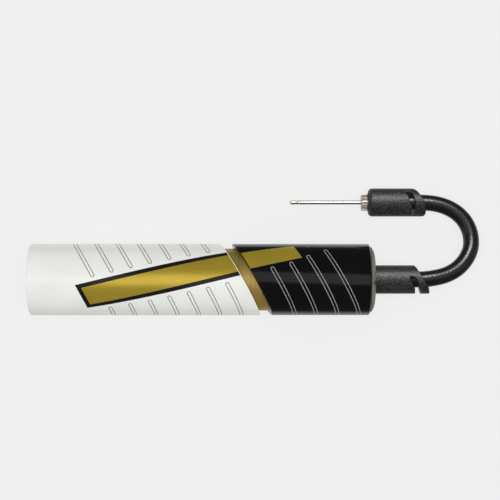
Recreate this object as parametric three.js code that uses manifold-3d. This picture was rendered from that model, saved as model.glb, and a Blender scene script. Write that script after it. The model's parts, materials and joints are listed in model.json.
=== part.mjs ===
// Hand pump for sports balls: a sliding handle sleeve on a metal barrel, a valve head, a short
// braided hose and an inflation needle. It lies on its side on the ground, needle and hose beside it.
// Millimetres, +X from the handle's end towards the hose, +Z up, ground at z = 0.
import * as THREE from 'three';
import { mergeVertices } from 'three/addons/utils/BufferGeometryUtils.js';
import Module from 'manifold-3d';

const wasm = await Module();
wasm.setup();

// ---- Driving dimensions -------------------------------------------------------------------

const SIDES = 36; // facets round the body, a multiple of 4 so that a flat faces the ground
const INNER_SIDES = 24; // facets round what the barrel and the handle hold
const SMALL_SIDES = 16; // facets round rods, screws and fittings
const BOOT_SIDES = 24; // facets round the boots and ferrules
const FIT = 0.2; // radial play of pieces that fit in each other
const FACE_GAP = 0.3; // space between faces that touch

const BODY_RADIUS = 19;
const BODY_HALF = 91.5; // half of the closed pump's length

const BARREL_RADIUS = 16.5;
const BARREL_BORE = 15.3;
const BARREL_REAR = -81.3;
const BARREL_FRONT = 60;

const HANDLE_BORE = 17.5;
const HANDLE_TRAVEL = 80; // stroke of the handle
const HEAD_BORE = 16.75;

const SEAM_HANDLE = 19.9; // x of the handle's oblique mouth on the axis
const SEAM_HEAD = 26.3; // x of the head sleeve's oblique edge on the axis
const SEAM_SLOPE_Y = -0.553; // how far both edges run in x for each mm of y
const SEAM_SLOPE_Z = 0.12; // the same for z

const ROD_RADIUS = 5;
const ROD_BORE = 3.05;

const THREAD_RADIUS = 3.85; // valve thread of 7.7 mm, shown as a plain stud
const THREAD_BORE = 4.15;

const BOOT_RADIUS = 7.6;
const BOOT_LENGTH = 30.9; // at the longest side of the oblique mouth
const BOOT_REAR = 90; // x of the rear end of the boot at the pump
const HOLDER_REAR = 89.1; // x of the rear end of the boot at the needle
const HOLDER_Y = 41.46; // the needle lies beside the body
const HOSE_START = 7.8; // how deep the hose reaches in a boot, from the boot's rear end

const HOSE_RADIUS = 4.25;
const HOSE_BORE = 2.7;

// The hose's centre line, from inside its boot to inside the needle holder. It sinks from the
// height of the body's axis to lie beside the body, and turns back in one wide bend.
const HOSE_ROUTE = [
  [97.8, 0, 19],
  [105, 0, 19],
  [112, 0, 19],
  [118, 0.12, 18.95],
  [123.5, 0.8, 18.65],
  [128.75, 2.0, 17.95],
  [133.7, 4.1, 16.95],
  [138.1, 7.3, 15.6],
  [141.7, 11.65, 14.0],
  [144, 16.8, 12.4],
  [144.4, 22.1, 10.95],
  [143.3, 27.25, 9.8],
  [140.8, 31.95, 8.9],
  [137.1, 35.75, 8.3],
  [132.4, 38.6, 7.9],
  [127.1, 40.4, 7.7],
  [121.5, 41.25, 7.62],
  [115.8, 41.44, 7.6],
  [109.5, 41.46, 7.6],
  [103, 41.46, 7.6],
  [96.9, 41.46, 7.6],
];

// ---- Materials ----------------------------------------------------------------------------

function material(color, roughness, metalness) {
  return new THREE.MeshStandardMaterial({ color, roughness, metalness });
}

const WHITE_GLOSS = material(0xecece8, 0.3, 0);
const BLACK_GLOSS = material(0x141416, 0.25, 0);
const CAP_GREY = material(0x6e6a62, 0.5, 0);
const GOLD = material(0xa88d45, 0.35, 1);
const BOOT_GREY = material(0x464644, 0.6, 0);
const HOSE_BRAID = material(0x232426, 0.55, 0);
const NICKEL = material(0xc9c2ba, 0.3, 1);
const STEEL = material(0x9a9c9f, 0.35, 1);
const BRASS = material(0xb79a55, 0.35, 1);
const NYLON = material(0xd8d6ce, 0.5, 0);
const RUBBER = material(0x1c1c1d, 0.8, 0);

// ---- Solids -------------------------------------------------------------------------------

// One closed skin with shared corners, facing out.
function closed(geometry) {
  geometry.deleteAttribute('normal');
  geometry.deleteAttribute('uv');
  const merged = mergeVertices(geometry, 1e-4);
  const corners = merged.index.array;
  const point = merged.attributes.position;
  const a = new THREE.Vector3();
  const b = new THREE.Vector3();
  const c = new THREE.Vector3();
  const kept = [];
  let volume = 0;
  for (let i = 0; i < corners.length; i += 3) {
    const [p, q, r] = [corners[i], corners[i + 1], corners[i + 2]];
    if (p === q || q === r || r === p) continue;
    kept.push(p, q, r);
    a.fromBufferAttribute(point, p);
    b.fromBufferAttribute(point, q);
    c.fromBufferAttribute(point, r);
    volume += a.dot(b.cross(c));
  }
  merged.setIndex(volume < 0 ? kept.reverse() : kept);
  return merged;
}

function toManifold(geometry) {
  return new wasm.Manifold(new wasm.Mesh({
    numProp: 3,
    vertProperties: new Float32Array(geometry.attributes.position.array),
    triVerts: new Uint32Array(geometry.index.array),
  }));
}

function toGeometry(manifold) {
  const mesh = manifold.getMesh();
  const geometry = new THREE.BufferGeometry();
  geometry.setAttribute('position', new THREE.BufferAttribute(mesh.vertProperties, 3));
  geometry.setIndex(new THREE.BufferAttribute(mesh.triVerts, 1));
  return geometry;
}

function joined(geometry, ...others) {
  return toGeometry(others.reduce((sum, other) => sum.add(toManifold(other)), toManifold(geometry)));
}

function cut(geometry, ...tools) {
  return toGeometry(tools.reduce((rest, tool) => rest.subtract(toManifold(tool)), toManifold(geometry)));
}

// A solid turned about +X from [x, radius] points. Each flat lies at its point's radius.
function turned(profile, sides = SIDES) {
  const reach = 1 / Math.cos(Math.PI / sides);
  const points = profile.map(([x, radius]) => new THREE.Vector2(radius * reach, x));
  const geometry = new THREE.LatheGeometry(points, sides, Math.PI / sides);
  return closed(geometry.rotateZ(-Math.PI / 2));
}

// A turned solid with a hole through it: the profile closes on itself.
function ring(profile, sides = SIDES) {
  return turned([...profile, profile[0]], sides);
}

function tube(x0, x1, outer, inner, sides = SIDES) {
  return ring([[x0, inner], [x0, outer], [x1, outer], [x1, inner]], sides);
}

function rod(x0, x1, radius, sides = SMALL_SIDES) {
  return turned([[x0, 0], [x0, radius], [x1, radius], [x1, 0]], sides);
}

// Points of an arc in the profile plane, from one angle to another in degrees.
function arc(x, radius, size, from, to, steps) {
  const points = [];
  for (let i = 0; i <= steps; i += 1) {
    const angle = THREE.MathUtils.degToRad(from + ((to - from) * i) / steps);
    points.push([x + size * Math.cos(angle), radius + size * Math.sin(angle)]);
  }
  return points;
}

// A geometry that points along +X, turned to stand radially out of the body at an angle about +X.
function radial(geometry, x, angle) {
  geometry.rotateY(-Math.PI / 2);
  geometry.rotateX(THREE.MathUtils.degToRad(angle));
  return geometry.translate(x, 0, 0);
}

// The half space on one side of the plane x = start + slopeY * y + slopeZ * z, as a large block.
function obliqueBlock(start, slopeY, slopeZ, side) {
  const size = 250;
  const normal = new THREE.Vector3(1, -slopeY, -slopeZ).normalize();
  const turn = new THREE.Quaternion().setFromUnitVectors(new THREE.Vector3(1, 0, 0), normal);
  const block = new THREE.BoxGeometry(size, size, size).translate((side * size) / 2, 0, 0);
  return closed(block.applyQuaternion(turn).translate(start, 0, 0));
}

function seamBlock(x, side) {
  return obliqueBlock(x, SEAM_SLOPE_Y, SEAM_SLOPE_Z, side);
}

// ---- Pump head ----------------------------------------------------------------------------

const SCREW_ANGLES = [0, 120, 240];
const GRUB = { radius: 1.2, inner: 12.4, outer: 16.3, socket: 0.6, socketDepth: 1.4, sides: 10 };
const GLAND_SCREW_X = -77.5;
const PLUG_SCREW_X = 57;

function grubHoles(x) {
  const hole = () => rod(GRUB.inner - FACE_GAP, BODY_RADIUS, GRUB.radius + FIT, GRUB.sides);
  return SCREW_ANGLES.map((angle) => radial(hole(), x, angle));
}

function grubScrew(x, angle) {
  const { radius, inner, outer, socket, socketDepth, sides } = GRUB;
  const screw = turned([
    [inner, 0],
    [inner, radius],
    [outer, radius],
    [outer, socket],
    [outer - socketDepth, socket],
    [outer - socketDepth, 0],
  ], sides);
  return radial(screw, x, angle);
}

function barrel() {
  const shell = tube(BARREL_REAR, BARREL_FRONT, BARREL_RADIUS, BARREL_BORE);
  return cut(shell, ...grubHoles(GLAND_SCREW_X), ...grubHoles(PLUG_SCREW_X));
}

const GLAND = { rear: -84.5, flange: 3, radius: 17.3, front: -74, rodPlay: 0.15 };

function barrelGland() {
  const flangeFront = GLAND.rear + GLAND.flange;
  const bore = ROD_RADIUS + GLAND.rodPlay;
  const body = ring([
    [GLAND.rear, bore],
    [GLAND.rear, GLAND.radius],
    [flangeFront, GLAND.radius],
    [flangeFront, BARREL_BORE - FIT],
    [GLAND.front, BARREL_BORE - FIT],
    [GLAND.front, bore],
  ]);
  const breathers = [45, 135, 225, 315].map((angle) => {
    const hole = rod(GLAND.rear - 1, GLAND.front + 1, 1.25, 8).translate(0, 9.5, 0);
    return hole.rotateX(THREE.MathUtils.degToRad(angle));
  });
  return cut(body, ...breathers, ...grubHoles(GLAND_SCREW_X));
}

// Stations along the valve block, from the pressure side to the hose.
const PLUG = {
  rear: 49,
  grooveStart: 51.5,
  grooveEnd: 53.9,
  grooveFloor: 13.6,
  flangeEnd: 66,
  noseStart: 78,
  nose: 88.95,
  noseRadius: 7,
  inlet: 1.7,
  seatStart: 55,
  seatEnd: 57.3,
  chamber: 3.6,
  chamberEnd: 72,
};

function headPlug() {
  const spigot = BARREL_BORE - FIT;
  const body = ring([
    [PLUG.rear, PLUG.inlet],
    [PLUG.rear, spigot],
    [PLUG.grooveStart, spigot],
    [PLUG.grooveStart, PLUG.grooveFloor],
    [PLUG.grooveEnd, PLUG.grooveFloor],
    [PLUG.grooveEnd, spigot],
    [BARREL_FRONT + FACE_GAP, spigot],
    [BARREL_FRONT + FACE_GAP, BARREL_RADIUS],
    [PLUG.flangeEnd, BARREL_RADIUS],
    [PLUG.flangeEnd, 10],
    [PLUG.noseStart, 10],
    [PLUG.noseStart, PLUG.noseRadius],
    [PLUG.nose, PLUG.noseRadius],
    [PLUG.nose, THREAD_BORE],
    [PLUG.chamberEnd, THREAD_BORE],
    [PLUG.chamberEnd, PLUG.chamber],
    [PLUG.seatEnd, PLUG.chamber],
    [PLUG.seatStart, PLUG.inlet],
  ], INNER_SIDES);
  return cut(body, ...grubHoles(PLUG_SCREW_X));
}

function plugORing() {
  const section = 0.75;
  const middle = (PLUG.grooveStart + PLUG.grooveEnd) / 2;
  return turned(arc(middle, BARREL_BORE - FIT - section, section, 0, 360, 6), INNER_SIDES);
}

const RETAINER = { start: 66, end: 70 };

function valveRetainer() {
  return tube(RETAINER.start, RETAINER.end, PLUG.chamber - FIT, 1.5, SMALL_SIDES);
}

// The ball's centre when it rests on the conical seat.
const BALL_RADIUS = 3;
const SEAT_ANGLE = Math.atan2(PLUG.chamber - PLUG.inlet, PLUG.seatEnd - PLUG.seatStart);
const SEAT_PLAY = 0.05;
const BALL_REACH = BALL_RADIUS + SEAT_PLAY - PLUG.inlet * Math.cos(SEAT_ANGLE);
const BALL_X = PLUG.seatStart + BALL_REACH / Math.sin(SEAT_ANGLE);

function valveBall() {
  const ball = new THREE.SphereGeometry(BALL_RADIUS, 14, 8).rotateZ(-Math.PI / 2);
  return closed(ball).translate(BALL_X, 0, 0);
}

const SPRING = { coil: 2.3, wire: 0.28, turns: 4, start: 60.4, end: RETAINER.start - 0.6 };

class Helix extends THREE.Curve {
  getPoint(t, target = new THREE.Vector3()) {
    const angle = t * SPRING.turns * 2 * Math.PI;
    const x = THREE.MathUtils.lerp(SPRING.start, SPRING.end, t);
    return target.set(x, SPRING.coil * Math.cos(angle), SPRING.coil * Math.sin(angle));
  }
}

function circle(radius, sides) {
  const points = [];
  for (let i = 0; i < sides; i += 1) {
    const angle = (2 * Math.PI * (i + 0.5)) / sides;
    points.push(new THREE.Vector2(radius * Math.cos(angle), radius * Math.sin(angle)));
  }
  return points;
}

function valveSpring() {
  const wire = new THREE.Shape(circle(SPRING.wire, 5));
  return closed(new THREE.ExtrudeGeometry(wire, { steps: 40, extrudePath: new Helix() }));
}

const RIM = { start: 88.06, end: 89.1, radius: 17.5 }; // rounded front edge of the head sleeve

function headSleeve() {
  const blank = ring([
    [0, HEAD_BORE],
    [0, BODY_RADIUS],
    [RIM.start, BODY_RADIUS],
    [RIM.start + 0.65, BODY_RADIUS - 0.45],
    [RIM.end, RIM.radius],
    [RIM.end, HEAD_BORE],
  ]);
  return cut(blank, seamBlock(SEAM_HEAD, -1));
}

// Stations of the end cap, with its thread hub round the valve block's nose.
const CAP = {
  hubRear: 79,
  hubRadius: 9.6,
  spigotRear: 84,
  spigotWall: 1.6,
  web: 87,
  flange: RIM.end + 0.1,
  bootHole: 7.95,
  bootFloor: 89.3,
  shoulder: 13.5,
  notch: { depth: 1.6, width: 2, height: 8, y: -1.4, z: 12.6 },
};

function endCap() {
  const spigot = HEAD_BORE - 0.15;
  const body = ring([
    [CAP.hubRear, PLUG.noseRadius + FIT],
    [CAP.hubRear, CAP.hubRadius],
    [CAP.web, CAP.hubRadius],
    [CAP.web, spigot - CAP.spigotWall],
    [CAP.spigotRear, spigot - CAP.spigotWall],
    [CAP.spigotRear, spigot],
    [CAP.flange, spigot],
    [CAP.flange, RIM.radius],
    [CAP.flange + 0.55, RIM.radius - 0.15],
    [CAP.flange + 1.4, RIM.radius - 1.3],
    [CAP.flange + 2, RIM.radius - 2.6],
    [BODY_HALF, CAP.shoulder],
    [BODY_HALF, CAP.bootHole],
    [CAP.bootFloor, CAP.bootHole],
    [CAP.bootFloor, PLUG.noseRadius + FIT],
  ]);
  const { depth, width, height, y, z } = CAP.notch;
  const notch = new THREE.BoxGeometry(depth * 2, width, height).translate(BODY_HALF, y, z);
  return cut(body, closed(notch));
}

// ---- Handle -------------------------------------------------------------------------------

const COVER_THICKNESS = 1.2;
const END_PLUG = { rear: -90.1, front: -85.2, recess: 3, recessRadius: 5.7, hole: 3.2 };

function handleSleeve() {
  const edge = 0.5;
  const blank = ring([
    [-BODY_HALF, HANDLE_BORE],
    [-BODY_HALF, BODY_RADIUS - edge],
    [-BODY_HALF + edge, BODY_RADIUS],
    [40, BODY_RADIUS],
    [40, HANDLE_BORE],
  ]);
  return cut(blank, seamBlock(SEAM_HANDLE, 1));
}

// The bush meets the gland's flange at the end of the stroke.
function mouthBush() {
  const rear = GLAND.rear + GLAND.flange + HANDLE_TRAVEL + FACE_GAP;
  return tube(rear, rear + 8, HANDLE_BORE - 0.1, BARREL_RADIUS + FIT);
}

function handleEndCover() {
  return turned([
    [-BODY_HALF, 0],
    [-BODY_HALF, HANDLE_BORE - 0.1],
    [-BODY_HALF + COVER_THICKNESS, HANDLE_BORE - 0.1],
    [-BODY_HALF + COVER_THICKNESS, 0],
  ]);
}

function handleEndPlug() {
  const floor = END_PLUG.rear + END_PLUG.recess;
  return ring([
    [END_PLUG.rear, END_PLUG.recessRadius],
    [END_PLUG.rear, HANDLE_BORE - FIT],
    [END_PLUG.front, HANDLE_BORE - FIT],
    [END_PLUG.front, END_PLUG.hole],
    [floor, END_PLUG.hole],
    [floor, END_PLUG.recessRadius],
  ], INNER_SIDES);
}

// A screw with a socket head: seat is the x under its head, way is +1 when the shank points to +X.
function socketScrew(seat, way, headRadius, headHeight, shankRadius, shankLength) {
  const top = seat - way * headHeight;
  return turned([
    [top + way * 1.6, 0],
    [top + way * 1.6, 2],
    [top, 2],
    [top, headRadius],
    [seat, headRadius],
    [seat, shankRadius],
    [seat + way * shankLength, shankRadius],
    [seat + way * shankLength, 0],
  ], SMALL_SIDES);
}

const ROD = { rear: -84.9, front: 34 };

function rodScrew() {
  const seat = END_PLUG.rear + END_PLUG.recess - FACE_GAP;
  return socketScrew(seat, 1, 5.2, 2.4, ROD_BORE - FIT, 14);
}

function pistonRod() {
  return tube(ROD.rear, ROD.front, ROD_RADIUS, ROD_BORE, SMALL_SIDES);
}

const PISTON = {
  rear: 31,
  radius: 14.9,
  grooveStart: 33,
  grooveEnd: 37,
  grooveFloor: 13.7,
  shoulder: 40,
  bossRadius: 8,
  boss: 43.2,
  screwHole: 3.15,
};

function piston() {
  const socketEnd = ROD.front + FACE_GAP;
  return ring([
    [PISTON.rear, ROD_RADIUS + FIT],
    [PISTON.rear, PISTON.radius],
    [PISTON.grooveStart, PISTON.radius],
    [PISTON.grooveStart, PISTON.grooveFloor],
    [PISTON.grooveEnd, PISTON.grooveFloor],
    [PISTON.grooveEnd, PISTON.radius],
    [PISTON.shoulder, PISTON.radius],
    [PISTON.shoulder, PISTON.bossRadius],
    [PISTON.boss, PISTON.bossRadius],
    [PISTON.boss, PISTON.screwHole],
    [socketEnd, PISTON.screwHole],
    [socketEnd, ROD_RADIUS + FIT],
  ], INNER_SIDES);
}

function pistonGuideRing() {
  const { grooveStart, grooveEnd, grooveFloor } = PISTON;
  return tube(grooveStart + FIT, grooveEnd - FIT, BARREL_BORE - FIT, grooveFloor + FIT, INNER_SIDES);
}

const CUP = { base: 2.8, lip: 46.5, lipRadius: BARREL_BORE - FIT, lipInner: 13.4 };

function pistonCup() {
  const rear = PISTON.shoulder + FIT;
  const front = rear + CUP.base;
  return ring([
    [rear, PISTON.bossRadius + FIT],
    [rear, PISTON.radius - 0.6],
    [front, PISTON.radius - 0.2],
    [CUP.lip, CUP.lipRadius],
    [CUP.lip, CUP.lipRadius - 0.6],
    [front, CUP.lipInner],
    [front, PISTON.bossRadius + FIT],
  ], INNER_SIDES);
}

const WASHER_FRONT = PISTON.boss + FIT + 1;

function pistonWasher() {
  return tube(PISTON.boss + FIT, WASHER_FRONT, 11, PISTON.screwHole, SMALL_SIDES);
}

function pistonScrew() {
  return socketScrew(WASHER_FRONT + FIT, -1, 5, 2.6, ROD_BORE - FIT, 24);
}

// ---- Hose ends ----------------------------------------------------------------------------

// Stations of a fitting, from the boot's rear end.
const FITTING = { neck: 0.4, neckRadius: 4.9, collar: 1.5, collarRadius: 5.9, collarEnd: 7.4 };
const BARB = { radius: 2.2, ridge: 2.5, pitch: 3, count: 3, bore: 1.1 };

// The barbed end of a fitting, as profile points that start at the collar.
function barbProfile(rear) {
  const points = [];
  for (let i = 0; i < BARB.count; i += 1) {
    const x = rear + FITTING.collarEnd + 1 + i * BARB.pitch;
    points.push([x, BARB.radius], [x, BARB.ridge], [x + BARB.pitch - 0.2, BARB.radius]);
  }
  const end = rear + FITTING.collarEnd + 1 + BARB.count * BARB.pitch;
  return [[rear + FITTING.collarEnd, BARB.radius], ...points, [end, BARB.radius], [end, BARB.bore]];
}

function hoseFitting(rear) {
  const stud = rear - 11;
  return ring([
    [stud, BARB.bore],
    [stud, THREAD_RADIUS],
    [rear + FITTING.neck, THREAD_RADIUS],
    [rear + FITTING.neck, FITTING.neckRadius],
    [rear + FITTING.collar, FITTING.neckRadius],
    [rear + FITTING.collar, FITTING.collarRadius],
    [rear + FITTING.collarEnd, FITTING.collarRadius],
    ...barbProfile(rear),
  ], SMALL_SIDES);
}

function needleSocket(rear) {
  const depth = rear + 6.2;
  return ring([
    [rear + FITTING.neck, THREAD_BORE],
    [rear + FITTING.neck, FITTING.neckRadius],
    [rear + FITTING.collar, FITTING.neckRadius],
    [rear + FITTING.collar, FITTING.collarRadius],
    [rear + FITTING.collarEnd, FITTING.collarRadius],
    ...barbProfile(rear),
    [depth, BARB.bore],
    [depth, THREAD_BORE],
  ], SMALL_SIDES);
}

// Stations of the crimped ferrule, from the boot's rear end.
const FERRULE = { start: 8.2, crimpStart: 12, crimpEnd: 14.8, end: 20.3, radius: 5.4, crimp: 5.1 };

function ferrule(rear) {
  const inner = HOSE_RADIUS + 0.3;
  const { start, crimpStart, crimpEnd, end, radius, crimp } = FERRULE;
  return ring([
    [rear + start, inner],
    [rear + start, radius],
    [rear + crimpStart, radius],
    [rear + crimpStart + 0.4, crimp],
    [rear + crimpEnd - 0.4, crimp],
    [rear + crimpEnd, radius],
    [rear + end, radius],
    [rear + end, inner],
  ], BOOT_SIDES);
}

// A boot has an oblique mouth, and a slot behind it where it flexes. Round the boot, steps count
// facets from the slot's closed end. The hose's bend opens or closes the slot, by its gape.
const STEP = 360 / BOOT_SIDES;
const MOUTH = { middle: 26.9, swing: 4, lag: 85 };
const SLOT = { steps: 11, centre: 24.9, sweep: 3.85, half: 1.5, least: 0.5, turn: 100 };

function slotRear(step) {
  const left = Math.max(0, 1 - (step * STEP) / SLOT.turn);
  return SLOT.centre - SLOT.sweep * left ** 2 - SLOT.half;
}

function slotFront(step, gape) {
  const spread = gape * ((step * STEP) / SLOT.turn) ** 1.5;
  return slotRear(step) + Math.max(SLOT.least, 2 * SLOT.half + spread);
}

// A band wrapped round +X: its edges are functions of the facet count, its ends are square.
function band(phase, from, to, rear, front, inner, outer) {
  const geometry = new THREE.BoxGeometry(1, 1, 1, 1, 1, to - from).translate(0.5, 0.5, 0.5);
  const point = geometry.attributes.position;
  const reach = 1 / Math.cos(Math.PI / BOOT_SIDES);
  for (let i = 0; i < point.count; i += 1) {
    const step = from + point.getZ(i) * (to - from);
    const x = THREE.MathUtils.lerp(rear(step), front(step), point.getX(i));
    const radius = THREE.MathUtils.lerp(inner, outer, point.getY(i)) * reach;
    const angle = ((phase + step) * 2 * Math.PI) / BOOT_SIDES;
    point.setXYZ(i, x, radius * Math.cos(angle), radius * Math.sin(angle));
  }
  return closed(geometry);
}

// phase is the angle of the slot's closed end, in steps from +Y towards +Z.
function boot(rear, phase, gape) {
  const pocket = 6.15;
  const ferruleBore = FERRULE.radius + FIT;
  const mouthBore = 5.1;
  const narrow = FERRULE.end + 0.5;
  const lip = 1.2;
  const fillet = arc(rear + 2.2, BOOT_RADIUS - 2.2, 2.2, 180, 90, 4);
  const blank = ring([
    [rear, FITTING.neckRadius + FIT],
    ...fillet,
    [rear + BOOT_LENGTH + 1, BOOT_RADIUS],
    [rear + BOOT_LENGTH + 1, mouthBore],
    [rear + narrow, mouthBore],
    [rear + narrow, ferruleBore],
    [rear + HOSE_START, ferruleBore],
    [rear + HOSE_START, pocket],
    [rear + lip, pocket],
    [rear + lip, FITTING.neckRadius + FIT],
  ], BOOT_SIDES);
  const way = THREE.MathUtils.degToRad(phase * STEP - MOUTH.lag);
  const slope = -MOUTH.swing / BOOT_RADIUS;
  const front = rear + MOUTH.middle;
  const mouth = obliqueBlock(front, slope * Math.cos(way), slope * Math.sin(way), 1);
  const start = (step) => rear + slotRear(step);
  const end = (step) => rear + slotFront(step, gape);
  const slot = band(phase, 0, SLOT.steps, start, end, mouthBore - 1, BOOT_RADIUS + 1);
  return cut(blank, mouth, slot);
}

const WASHER = { play: 0.15, bore: THREAD_RADIUS + FIT };

function hoseWasher() {
  const front = BOOT_REAR + FITTING.neck - WASHER.play;
  return tube(PLUG.nose + WASHER.play, front, 5, WASHER.bore, SMALL_SIDES);
}

function hose() {
  const path = new THREE.CatmullRomCurve3(HOSE_ROUTE.map((point) => new THREE.Vector3(...point)));
  const section = new THREE.Shape(circle(HOSE_RADIUS / Math.cos(Math.PI / 12), 12));
  section.holes.push(new THREE.Path(circle(HOSE_BORE / Math.cos(Math.PI / 6), 6)));
  return closed(new THREE.ExtrudeGeometry(section, { steps: 26, extrudePath: path }));
}

// ---- Needle -------------------------------------------------------------------------------

const NEEDLE = {
  tip: 46.9,
  radius: 1.05,
  bore: 0.5,
  flangeRear: 85.3,
  flangeFront: 88.9,
  flangeRadius: 4.5,
  stubEnd: 94.6,
  tubeEnd: 93,
  baseBore: 1.2,
  knurls: 24,
  knurlDepth: 0.3,
};

function needleWasher() {
  const front = HOLDER_REAR + FITTING.neck - WASHER.play;
  return tube(NEEDLE.flangeFront + WASHER.play, front, 4.7, WASHER.bore, SMALL_SIDES);
}

// The finger flange's outline: a circle with shallow teeth.
function knurledOutline() {
  const points = [];
  for (let i = 0; i < NEEDLE.knurls * 2; i += 1) {
    const angle = (Math.PI * i) / NEEDLE.knurls;
    const radius = NEEDLE.flangeRadius - (i % 2) * NEEDLE.knurlDepth;
    points.push(new THREE.Vector2(radius * Math.cos(angle), radius * Math.sin(angle)));
  }
  return points;
}

function needleBase() {
  const depth = NEEDLE.flangeFront - NEEDLE.flangeRear;
  const outline = new THREE.Shape(knurledOutline());
  const teeth = new THREE.ExtrudeGeometry(outline, { depth, bevelEnabled: false });
  const flange = closed(teeth.rotateY(Math.PI / 2).translate(NEEDLE.flangeRear, 0, 0));
  const stub = rod(NEEDLE.flangeFront - 1, NEEDLE.stubEnd, THREAD_RADIUS);
  const bore = rod(NEEDLE.flangeRear - 1, NEEDLE.stubEnd + 1, NEEDLE.baseBore);
  return cut(joined(flange, stub), bore);
}

function needleTube() {
  const { tip, radius, bore, tubeEnd } = NEEDLE;
  const body = turned([
    [tip, 0],
    [tip + 0.1, radius * 0.55],
    [tip + 0.45, radius * 0.9],
    [tip + 1, radius],
    [tubeEnd, radius],
    [tubeEnd, bore],
    [tip + 2.5, bore],
    [tip + 2.5, 0],
  ], SMALL_SIDES);
  const sideHole = new THREE.CylinderGeometry(0.35, 0.35, 3, 8).rotateX(Math.PI / 2);
  return cut(body, closed(sideHole.translate(tip + 4, 0, 1.5)));
}

// ---- Assembly -----------------------------------------------------------------------------

function add(parent, name, geometry, finish) {
  const mesh = new THREE.Mesh(geometry, finish.clone());
  mesh.name = name;
  parent.add(mesh);
}

const object = new THREE.Group();
const body = new THREE.Group();
body.position.set(0, 0, BODY_RADIUS);
object.add(body);

add(body, 'barrel', barrel(), GOLD);
add(body, 'barrel_gland', barrelGland(), NYLON);
add(body, 'head_plug', headPlug(), NYLON);
add(body, 'plug_o_ring', plugORing(), RUBBER);
add(body, 'valve_ball', valveBall(), STEEL);
add(body, 'valve_spring', valveSpring(), STEEL);
add(body, 'valve_retainer', valveRetainer(), BRASS);
add(body, 'head_sleeve', headSleeve(), BLACK_GLOSS);
add(body, 'end_cap', endCap(), CAP_GREY);

SCREW_ANGLES.forEach((angle, i) => {
  add(body, `gland_screw_${i + 1}`, grubScrew(GLAND_SCREW_X, angle), STEEL);
  add(body, `plug_screw_${i + 1}`, grubScrew(PLUG_SCREW_X, angle), STEEL);
});

add(body, 'handle_sleeve', handleSleeve(), WHITE_GLOSS);
add(body, 'mouth_bush', mouthBush(), NYLON);
add(body, 'handle_end_cover', handleEndCover(), WHITE_GLOSS);
add(body, 'handle_end_plug', handleEndPlug(), NYLON);
add(body, 'rod_screw', rodScrew(), STEEL);
add(body, 'piston_rod', pistonRod(), STEEL);
add(body, 'piston', piston(), NYLON);
add(body, 'piston_guide_ring', pistonGuideRing(), NYLON);
add(body, 'piston_cup', pistonCup(), RUBBER);
add(body, 'piston_washer', pistonWasher(), STEEL);
add(body, 'piston_screw', pistonScrew(), STEEL);

add(body, 'hose_washer', hoseWasher(), RUBBER);
add(body, 'hose_fitting', hoseFitting(BOOT_REAR), BRASS);
add(body, 'hose_ferrule', ferrule(BOOT_REAR), NICKEL);
add(body, 'hose_boot', boot(BOOT_REAR, 5.5, 0.6), BOOT_GREY);
add(object, 'hose', hose(), HOSE_BRAID);

const needleEnd = new THREE.Group();
needleEnd.position.set(0, HOLDER_Y, BOOT_RADIUS);
object.add(needleEnd);

add(needleEnd, 'needle_ferrule', ferrule(HOLDER_REAR), NICKEL);
add(needleEnd, 'needle_socket', needleSocket(HOLDER_REAR), BRASS);
add(needleEnd, 'needle_holder', boot(HOLDER_REAR, 2.5, -1.8), BOOT_GREY);
add(needleEnd, 'needle_washer', needleWasher(), RUBBER);
add(needleEnd, 'needle_base', needleBase(), NICKEL);
add(needleEnd, 'needle_tube', needleTube(), NICKEL);

export default object;
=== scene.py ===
"""Looks of the ball inflation pump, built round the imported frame. Metres, +Z up, ground at z = 0."""
import json
import math

import bmesh
import bpy
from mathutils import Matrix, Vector


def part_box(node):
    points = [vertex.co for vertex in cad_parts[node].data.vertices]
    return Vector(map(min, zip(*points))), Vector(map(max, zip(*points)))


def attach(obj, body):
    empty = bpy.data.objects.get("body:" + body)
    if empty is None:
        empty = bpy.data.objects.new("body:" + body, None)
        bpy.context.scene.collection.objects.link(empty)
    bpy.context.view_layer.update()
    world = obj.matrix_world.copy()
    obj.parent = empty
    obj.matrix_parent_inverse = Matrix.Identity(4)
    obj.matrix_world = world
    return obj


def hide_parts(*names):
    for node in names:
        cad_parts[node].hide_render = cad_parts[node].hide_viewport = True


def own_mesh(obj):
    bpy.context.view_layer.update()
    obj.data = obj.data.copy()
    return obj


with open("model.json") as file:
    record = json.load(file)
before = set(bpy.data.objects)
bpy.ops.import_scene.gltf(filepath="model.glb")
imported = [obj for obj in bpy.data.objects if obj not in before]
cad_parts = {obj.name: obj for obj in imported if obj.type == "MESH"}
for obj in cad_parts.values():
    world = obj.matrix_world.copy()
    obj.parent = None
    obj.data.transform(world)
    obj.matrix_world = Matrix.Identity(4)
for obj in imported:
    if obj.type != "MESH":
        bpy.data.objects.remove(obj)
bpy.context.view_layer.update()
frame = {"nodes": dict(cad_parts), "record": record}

MM = 0.001

# ---- Sizes, in millimetres, read off the frame where it has them ---------------------------


def node_box(name):
    """Lowest and highest corner of a CAD node, in millimetres."""
    low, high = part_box(name)
    return Vector(low) / MM, Vector(high) / MM


handle_low, handle_high = node_box("handle_sleeve")
barrel_low, barrel_high = node_box("barrel")
holder_low, holder_high = node_box("needle_holder")
flange_low, flange_high = node_box("needle_base")
tube_low, tube_high = node_box("needle_tube")
cover_low, cover_high = node_box("handle_end_cover")
spring_low, spring_high = node_box("valve_spring")

HEAD_FRONT = node_box("head_sleeve")[1].x
CAP_FRONT = node_box("end_cap")[1].x
BOOT_REAR = node_box("hose_boot")[0].x
BODY_RADIUS = (handle_high.z - handle_low.z) / 2
BODY_AXIS = (0.0, BODY_RADIUS)
BOOT_RADIUS = (holder_high.z - holder_low.z) / 2
NEEDLE_AXIS = ((holder_low.y + holder_high.y) / 2, BOOT_RADIUS)
BARREL_RADIUS = (barrel_high.z - barrel_low.z) / 2

HANDLE_BORE = 17.5
HEAD_BORE = 16.75
BARREL_BORE = 15.3

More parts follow.
